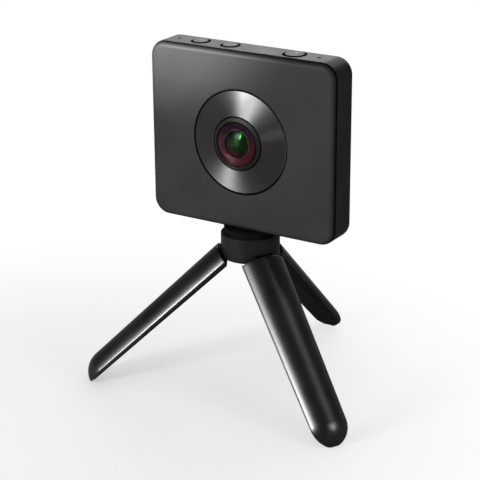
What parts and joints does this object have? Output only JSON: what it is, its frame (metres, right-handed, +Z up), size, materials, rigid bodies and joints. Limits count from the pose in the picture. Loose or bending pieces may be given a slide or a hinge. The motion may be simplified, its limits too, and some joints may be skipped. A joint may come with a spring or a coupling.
{
  "type": "360 degree camera",
  "caption": "Slim pocket camera with a domed wide-angle lens on each face, buttons and microphones on top, a side port door, and a folding mini tripod under it.",
  "frame": {"origin": "on the floor, on the tripod's upright axis, midway between the three feet", "axes": "+Z up along the tripod's axis; +X to the right as the pictured face is seen; that face's lens looks along -Y, the other face's along +Y"},
  "size_m": [0.112, 0.0992, 0.1319],
  "materials": {
    "case_face": "fine matte texture",
    "case_frame": "satin grey paint",
    "trim_ring": "circular brushed, dark anodised",
    "bezel": "turned, satin",
    "front_glass": "coated, polished",
    "inner_glass": "green coating, polished",
    "black_plastic": "matte black",
    "sensor": "polished dark blue-black",
    "circuit_board": "solder-resist green",
    "flex": "amber film",
    "steel": "turned, plain",
    "rubber": "soft matte black",
    "cast_light_metal": "as cast",
    "button": "satin dark grey",
    "component_black": "moulded black",
    "tinned_steel": "tinned, dull",
    "graphite": "dull graphite grey",
    "aerial_foil": "thin foil",
    "battery_wrap": "smooth film wrap",
    "wire_sleeve": "smooth sleeve",
    "bush_metal": "machined",
    "head_metal": "matte black anodised",
    "leg_shell": "satin-gloss black"
  },
  "bodies": {
    "tripod_head": {"head_housing": "head_metal", "head_base": "black_plastic", "base_screw": "steel", "tripod_screw": "steel", "head_pad": "rubber", "hinge_pins": "steel", "hinge_washers": "black_plastic"},
    "leg_left": {"leg_shell_left": "leg_shell", "leg_core_left": "black_plastic"},
    "leg_right": {"leg_shell_right": "leg_shell", "leg_core_right": "black_plastic"},
    "leg_back": {"leg_shell_back": "leg_shell", "leg_core_back": "black_plastic"},
    "power_button": {"power_button": "button"},
    "mode_button": {"mode_button": "button"},
    "shutter_button": {"shutter_button": "button"},
    "memory_card": {"memory_card": "component_black"},
    "port_door": {"port_door": "case_frame", "port_seal": "rubber"},
    "camera": {"front_cover": "case_face", "rear_cover": "case_face", "mid_frame": "case_frame", "front_lens_ring": "trim_ring", "rear_lens_ring": "trim_ring", "front_lens_bezel": "bezel", "rear_lens_bezel": "bezel", "front_dome": "front_glass", "rear_dome": "front_glass", "front_lens_elements": "inner_glass", "rear_lens_elements": "inner_glass", "front_lens_barrel": "black_plastic", "rear_lens_barrel": "black_plastic", "front_sensor": "sensor", "rear_sensor": "sensor", "front_sensor_board": "circuit_board", "rear_sensor_board": "circuit_board", "button_board": "circuit_board", "main_board": "circuit_board", "front_sensor_link": "flex", "rear_sensor_link": "flex", "button_link": "flex", "front_cover_screws": "steel", "rear_cover_screws": "steel", "board_screws": "steel", "port_door_pin": "steel", "front_seal": "rubber", "rear_seal": "rubber", "microphone_boots": "rubber", "lens_chassis": "cast_light_metal", "button_switches": "component_black", "microphones": "component_black", "processor_shield": "tinned_steel", "wireless_module": "tinned_steel", "usb_socket": "tinned_steel", "card_socket": "tinned_steel", "heat_spreader": "graphite", "aerial": "aerial_foil", "battery": "battery_wrap", "battery_leads": "wire_sleeve", "tripod_bush": "bush_metal"}
  },
  "joints": [
    {"name": "leg_left_fold", "type": "hinge", "parent": "tripod_head", "child": "leg_left", "pos_m": [-0.00563, -0.00325, 0.05609], "axis": [0.5, -0.866, 0], "range_deg": [0, 47.4]},
    {"name": "leg_right_fold", "type": "hinge", "parent": "tripod_head", "child": "leg_right", "pos_m": [0.00563, -0.00325, 0.05609], "axis": [0.5, 0.866, 0], "range_deg": [0, 47.4]},
    {"name": "leg_back_fold", "type": "hinge", "parent": "tripod_head", "child": "leg_back", "pos_m": [0, 0.0065, 0.05609], "axis": [-1, 0, 0], "range_deg": [0, 47.4]},
    {"name": "camera_turn", "type": "hinge", "parent": "tripod_head", "child": "camera", "pos_m": [0, 0, 0.06424], "axis": [0, 0, 1], "range_deg": [0, 180]},
    {"name": "power_button_press", "type": "slide", "parent": "camera", "child": "power_button", "axis": [0, 0, -1], "range_m": [0, 0.00045], "stiffness_N_per_m": 3000, "springref_m": -0.00015},
    {"name": "mode_button_press", "type": "slide", "parent": "camera", "child": "mode_button", "axis": [0, 0, -1], "range_m": [0, 0.00045], "stiffness_N_per_m": 3000, "springref_m": -0.00015},
    {"name": "shutter_button_press", "type": "slide", "parent": "camera", "child": "shutter_button", "axis": [0, 0, -1], "range_m": [0, 0.00045], "stiffness_N_per_m": 3000, "springref_m": -0.00015},
    {"name": "port_door_open", "type": "hinge", "parent": "camera", "child": "port_door", "pos_m": [-0.03795, 0, 0.07989], "axis": [0, -1, 0], "range_deg": [0, 95]},
    {"name": "memory_card_press", "type": "slide", "parent": "camera", "child": "memory_card", "axis": [1, 0, 0], "range_m": [0, 0.0008], "stiffness_N_per_m": 1500, "springref_m": -0.0002}
  ]
}
